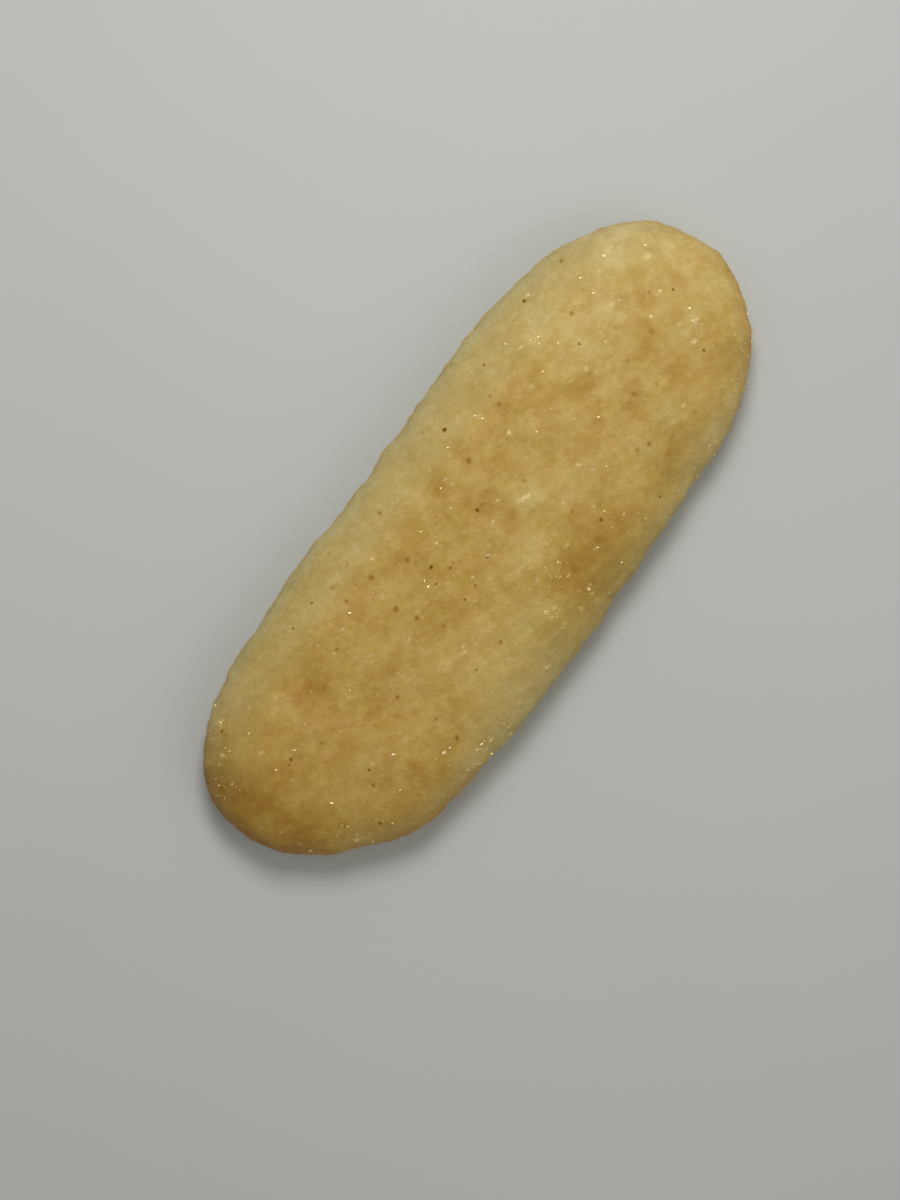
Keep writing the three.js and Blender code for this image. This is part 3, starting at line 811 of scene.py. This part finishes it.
def unit_of(form):
    """A form one unit wide as plain lists: its corners, how near its core each lies, and its faces."""
    corners = [vert.co.copy() for vert in form.verts]
    cores = [1 - (corner.x**2 + corner.y**2) / UNIT_RADIUS**2 for corner in corners]
    faces = [[vert.index for vert in face.verts] for face in form.faces]
    form.free()
    return {"corners": corners, "cores": cores, "faces": faces}


def unit_flake():
    """A flat round flake."""
    form = bmesh.new()
    flat = Matrix.Diagonal((1, 1, FLAKE_FLATNESS, 1))
    bmesh.ops.create_icosphere(form, subdivisions=2, radius=UNIT_RADIUS, matrix=flat)
    return unit_of(form)


def unit_crystal():
    """A block with its corners cut off."""
    form = bmesh.new()
    bmesh.ops.create_cube(form, size=BLOCK_SIZE)
    bmesh.ops.bevel(form, geom=form.verts[:], offset=BLOCK_CUT, affect="VERTICES")
    form.verts.index_update()
    return unit_of(form)


# Shader nodes


def fill(tree, node, sockets):
    """Sets a node's sockets, or joins them to what feeds them."""
    for name, value in sockets.items():
        if isinstance(value, bpy.types.NodeSocket):
            tree.links.new(value, node.inputs[name])
        else:
            node.inputs[name].default_value = value


def place(tree, kind, sockets=None, **settings):
    """A new node with its settings, and with its sockets set or joined."""
    made = tree.nodes.new(kind)
    for name, value in settings.items():
        setattr(made, name, value)
    fill(tree, made, sockets or {})
    return made


def sum_of(tree, operation, first, second):
    """The result of one sum on two values."""
    return place(tree, "ShaderNodeMath", {0: first, 1: second}, operation=operation).outputs[0]


def vector_sum(tree, operation, first, second):
    """The result of one sum on two vectors, or on a vector and the value that scales it."""
    by = "Scale" if operation == "SCALE" else 1
    made = place(tree, "ShaderNodeVectorMath", {0: first, by: second}, operation=operation)
    return made.outputs["Vector"]


def spread(tree, value, ends=(0.0, 1.0), onto=(0.0, 1.0)):
    """A value between two ends, eased onto two others."""
    names = ("From Min", "From Max", "To Min", "To Max")
    sockets = {"Value": value, **dict(zip(names, (*ends, *onto)))}
    return place(tree, "ShaderNodeMapRange", sockets, interpolation_type="SMOOTHSTEP").outputs["Result"]


def layer(tree, share, under, over):
    """One colour over another, by a share."""
    made = place(tree, "ShaderNodeMix", {0: share, 6: under, 7: over}, data_type="RGBA")
    return made.outputs[2]


def tinted(tree, under, over, mask, most):
    """One colour over another where a mask is, covering it by the most at most."""
    return layer(tree, sum_of(tree, "MULTIPLY", mask, most), under, over)


def one_and(tree, share, more):
    """1 and a share of something more."""
    sockets = {0: share, 1: more, 2: 1.0}
    return place(tree, "ShaderNodeMath", sockets, operation="MULTIPLY_ADD").outputs[0]


def browned(tree, colour, share):
    """A colour made darker and richer by a share above 0, or lighter and milkier by one below 0."""
    # The share is partly baking and partly painted shade, and below 0 partly painted light
    sockets = {"Color": colour, "Gamma": one_and(tree, share, BAKED_AND_SHADED_RICHER)}
    rich = place(tree, "ShaderNodeGamma", sockets).outputs["Color"]
    return vector_sum(tree, "SCALE", rich, one_and(tree, share, BAKED_AND_SHADED_DARKER))


def colour_run(tree, share, colours):
    """Colours in a row from 0 to 1, evenly apart and blended."""
    made = place(tree, "ShaderNodeValToRGB", {"Fac": share})
    elements = made.color_ramp.elements
    elements.remove(elements[-1])
    elements[0].color = colours[0]
    for step, colour in enumerate(colours[1:], 1):
        elements.new(step / (len(colours) - 1)).color = colour
    return made.outputs["Color"]


def swayed(tree, value, mask, strength):
    """A value swayed up and down by a mask."""
    centred = sum_of(tree, "SUBTRACT", mask, MIDDLE)
    return sum_of(tree, "ADD", value, sum_of(tree, "MULTIPLY", centred, strength))


def mottled(tree, value, masks, name):
    """A value swayed by those of the masks that its mottling names, if it has one."""
    for mask, strength in MOTTLING.get(name, {}).items():
        value = swayed(tree, value, masks[mask], strength)
    return value


# Effects, each a node group that turns named values into a mask from 0 to 1


def new_group(name, inputs):
    """A shader node group, the named values that go into it, and the mask that comes out of it."""
    group = bpy.data.node_groups.new(name, "ShaderNodeTree")
    for socket, value in inputs.items():
        made = group.interface.new_socket(socket, in_out="INPUT", socket_type="NodeSocketFloat")
        made.default_value = value
    group.interface.new_socket("Mask", in_out="OUTPUT", socket_type="NodeSocketFloat")
    given = group.nodes.new("NodeGroupInput").outputs
    return group, given, group.nodes.new("NodeGroupOutput").inputs["Mask"]


def surface_scale(tree, size):
    """Blender's texture scale for features of a size in millimetres."""
    return sum_of(tree, "DIVIDE", 1 / MM, size)


def drawn_out(tree, long_scale, thin_scale):
    """Where a point lies, turned along the drawn-out way and scaled along and across it."""
    where = place(tree, "ShaderNodeTexCoord").outputs["Object"]
    sockets = {"Vector": where, "Angle": -DRAWN_TURN}
    ahead = place(tree, "ShaderNodeVectorRotate", sockets, rotation_type="Z_AXIS").outputs["Vector"]
    scale = place(tree, "ShaderNodeCombineXYZ", {"X": long_scale, "Y": thin_scale, "Z": thin_scale})
    return vector_sum(tree, "MULTIPLY", ahead, scale.outputs["Vector"])


def clouds(tree, given, sockets):
    """Clouds of noise at the given shift, spread out about their middle less the softer they are."""
    sockets = {"W": given["Shift"], **sockets}
    value = place(tree, "ShaderNodeTexNoise", sockets, noise_dimensions="4D").outputs["Fac"]
    ends = [sum_of(tree, operation, MIDDLE, given["Softness"]) for operation in ("SUBTRACT", "ADD")]
    return spread(tree, value, ends)


def blotch_group():
    """Soft cloudy blotches of a size."""
    group, given, mask = new_group("baked_blotches", {"Size": 2.0, "Softness": 0.22, "Shift": 0.0})
    where = place(group, "ShaderNodeTexCoord").outputs["Object"]
    scale = surface_scale(group, given["Size"])
    sockets = {"Vector": where, "Scale": scale, "Detail": 3.0, "Roughness": 0.55}
    group.links.new(clouds(group, given, sockets), mask)
    return group


def streak_group():
    """Short soft streaks along the drawn-out way."""
    inputs = {"Length": 2.0, "Width": 0.5, "Softness": 0.2, "Shift": 0.0}
    group, given, mask = new_group("drawn_streaks", inputs)
    scales = [surface_scale(group, given[size]) for size in ("Length", "Width")]
    sockets = {"Vector": drawn_out(group, *scales), "Scale": 1.0, "Detail": 2.0, "Roughness": 0.5}
    group.links.new(clouds(group, given, sockets), mask)
    return group


def dot_group():
    """Sparse oval dots with soft uneven edges: how far apart, how wide, and what share of them there is."""
    group, given, mask = new_group("baked_dots", {"Spacing": 1.0, "Width": 0.3, "Share": 0.3})
    thin_scale = surface_scale(group, given["Spacing"])
    where = drawn_out(group, sum_of(group, "MULTIPLY", thin_scale, DOT_NARROWNESS), thin_scale)
    sockets = {"Vector": where, "Scale": DOT_EDGES["scale"], "Detail": 1.0}
    edges = place(group, "ShaderNodeTexNoise", sockets).outputs["Color"]
    pull = vector_sum(group, "SUBTRACT", edges, (MIDDLE, MIDDLE, MIDDLE))
    pulled = vector_sum(group, "ADD", where, vector_sum(group, "SCALE", pull, DOT_EDGES["pull"]))
    cells = place(group, "ShaderNodeTexVoronoi", {"Vector": pulled, "Scale": 1.0}).outputs
    reach = sum_of(group, "DIVIDE", given["Width"], given["Spacing"])
    inside = spread(group, cells["Distance"], (0.0, reach), (1.0, 0.0))
    lot = place(group, "ShaderNodeSeparateColor", {"Color": cells["Color"]}).outputs["Red"]
    kept = sum_of(group, "LESS_THAN", lot, given["Share"])
    group.links.new(sum_of(group, "MULTIPLY", inside, kept), mask)
    return group


def use_group(tree, group, values):
    """A group's mask, placed in a material with its own values."""
    return place(tree, "ShaderNodeGroup", values, node_tree=group).outputs["Mask"]


# Materials


def new_material(name):
    """A material, its nodes and its surface shader."""
    material = bpy.data.materials.new(name)
    material.use_nodes = True
    return material, material.node_tree, material.node_tree.nodes["Principled BSDF"]


def kept_value(tree, name):
    """A value kept at a mesh's points."""
    return place(tree, "ShaderNodeAttribute", attribute_name=name).outputs["Fac"]


def crust_masks(tree, effects):
    """All masks of the crust, by name."""
    masks = {}
    for effect, uses in CRUST_MASKS.items():
        for name, values in uses.items():
            masks[name] = use_group(tree, effects[effect], values)
    return masks


def tinted_in_turn(tree, colour, tints, masks):
    """A colour with tints of the crust over it, where their masks or kept values bring them out."""
    for name, (tint, most) in tints.items():
        value = mottled(tree, masks[name] if name in masks else kept_value(tree, name), masks, name)
        if name in FINE_CHANGE:
            change = spread(tree, masks["fine"], onto=FINE_CHANGE[name])
            value = sum_of(tree, "MULTIPLY", value, change)
        if name in SOFT_RISE:
            value = spread(tree, value, SOFT_RISE[name])
        colour = tinted(tree, colour, tint, value, most)
    return colour


def crust_colour(tree, masks):
    """Pale, gold or brown as it is toasted, darker or lighter by baking and by painted shade and light, and
    tinted.
    """
    toasted = mottled(tree, kept_value(tree, "toasted"), masks, "toasted")
    colour = colour_run(tree, toasted, [PALE, GOLD, BROWN])
    colour = tinted_in_turn(tree, colour, UNBAKED_TINTS, masks)
    # Darkened by baking and by painted shade, and lightened in places by painted light
    baked_and_shaded = mottled(tree, kept_value(tree, "baked_and_shaded"), masks, "baked_and_shaded")
    colour = browned(tree, colour, sum_of(tree, "SUBTRACT", baked_and_shaded, MIDDLE))
    return tinted_in_turn(tree, colour, BAKED_TINTS, masks)


def crust_material(effects):
    """Baked rice dough: gold, browned in soft places, paler down its side, and a little oily."""
    material, tree, surface = new_material("baked_rice_crust")
    masks = crust_masks(tree, effects)
    colour = crust_colour(tree, masks)
    roughness = spread(tree, masks["middling"], onto=CRUST_ROUGHNESS)
    height = mottled(tree, masks["pale_dots"], masks, "height")
    bump = place(tree, "ShaderNodeBump", {"Height": height, **CRUST_BUMP}).outputs["Normal"]
    fill(tree, surface, {"Base Color": colour, "Roughness": roughness, "Normal": bump, **CRUST_FINISH})
    return material


def speck_material(effects):
    """A toasted speck, dull and uneven, dark by its own strength, and softer towards its edge."""
    material, tree, surface = new_material("toasted_speck")
    uneven = use_group(tree, effects["blotches"], SPECK_BLOTCHES)
    core = spread(tree, kept_value(tree, "core"), SPECK_CORE, SPECK_DARKNESS)
    dark = sum_of(tree, "MULTIPLY", core, kept_value(tree, "strength"))
    colour = layer(tree, swayed(tree, dark, uneven, SPECK_MOTTLING), SOFT_SPECK, SPECK)
    roughness = spread(tree, uneven, onto=SPECK_ROUGHNESS)
    fill(tree, surface, {"Base Color": colour, "Roughness": roughness, **SPECK_FINISH})
    return material


def grain_material(effects):
    """A grain over the crust: clear and glossy, or the duller and milkier the further it has melted."""
    material, tree, surface = new_material("clear_grain")
    cloudy = use_group(tree, effects["blotches"], GRAIN_CLOUDS)
    melted = kept_value(tree, "strength")
    colour = layer(tree, spread(tree, melted, (MILKY_FROM, 1.0)), PEACH, GRAIN)
    colour = tinted(tree, colour, PALE, cloudy, GRAIN_CLOUDINESS)
    roughness = spread(tree, melted, (0.0, MILKY_FROM), GRAIN_ROUGHNESS)
    roughness = swayed(tree, roughness, cloudy, GRAIN_MOTTLING)
    fill(tree, surface, {"Base Color": colour, "Roughness": roughness, **GRAIN_FINISH})
    return material


def floor_material(effects):
    """A plain pale floor with hardly any unevenness."""
    material, tree, surface = new_material("pale_floor")
    uneven = use_group(tree, effects["blotches"], FLOOR_BLOTCHES)
    darker = tuple(FLOOR_SHADE * channel for channel in FLOOR[:3]) + (1.0,)
    fill(tree, surface, {"Base Color": layer(tree, uneven, FLOOR, darker), **FLOOR_FINISH})
    return material


# The room


def lay_floor(material):
    """A wide floor that the cracker lies on."""
    half = FLOOR_WIDTH / 2 * MM
    corners = [(-half, -half, 0), (half, -half, 0), (half, half, 0), (-half, half, 0)]
    mesh = bpy.data.meshes.new("floor")
    mesh.from_pydata(corners, [], [(0, 1, 2, 3)])
    mesh.materials.append(material)
    add_object("floor", mesh)


def hang_light(name, light):
    """A square soft light that faces the cracker."""
    data = bpy.data.lights.new(name, "AREA")
    data.size = light["size"] * MM
    data.energy = light["power"]
    lamp = add_object(name, data)
    towards = direction(*light["angles"])
    lamp.location = towards * light["distance"] * MM
    lamp.rotation_mode = "QUATERNION"
    lamp.rotation_quaternion = towards.to_track_quat("Z", "Y")
    lamp.visible_camera = False


def light_room():
    """A broad soft light from the top of the picture, a weak one from its lower right, and an even room."""
    hang_light("window_light", WINDOW_LIGHT)
    hang_light("room_light", ROOM_LIGHT)
    room = bpy.data.worlds.new("room")
    room.use_nodes = True
    background = room.node_tree.nodes["Background"]
    fill(room.node_tree, background, {"Color": (1, 1, 1, 1), "Strength": ROOM_STRENGTH})
    bpy.context.scene.world = room
    bpy.context.scene.view_settings.view_transform = "Standard"


def dress(piece, material, smooth):
    """Gives a piece its material and its place in the frame."""
    piece.data.materials.append(material)
    piece.data.polygons.foreach_set("use_smooth", [smooth] * len(piece.data.polygons))
    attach(piece, "root")
    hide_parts("cracker")


def make_cracker(effects):
    """The crust and what lies on it."""
    chance = random.Random(SEED)
    crust = even_skin()
    points, normals = raise_relief(crust, chance)
    seen = as_seen(points)
    specks = list(spot_places(seen, normals, SHOWN_SPECKS, CHANCE_SPECKS, chance))
    freckles = list(spot_places(seen, normals, SHOWN_FRECKLES, CHANCE_FRECKLES, chance))
    brown_crust(crust, points, normals)
    keep_values(crust, "scorched", spots(points, specks, SCORCH_REACH))
    keep_values(crust, "freckled", spots(points, freckles, FRECKLE_REACH))
    dress(crust, crust_material(effects), True)

    flecks = scatter("toasted_specks", specks, points, normals, unit_flake(), FLAKE, chance)
    dress(flecks, speck_material(effects), True)

    places = [
        *flashing_grains(points, seen, normals, chance),
        *melted_grains(seen, normals, chance),
        *clustered_grains(seen, normals, chance),
        *chance_grains(points, normals, chance),
    ]
    grains = scatter("salt_grains", places, points, normals, unit_crystal(), CRYSTAL, chance)
    dress(grains, grain_material(effects), False)


look_down()
effects = {"blotches": blotch_group(), "streaks": streak_group(), "dots": dot_group()}
make_cracker(effects)
lay_floor(floor_material(effects))
light_room()
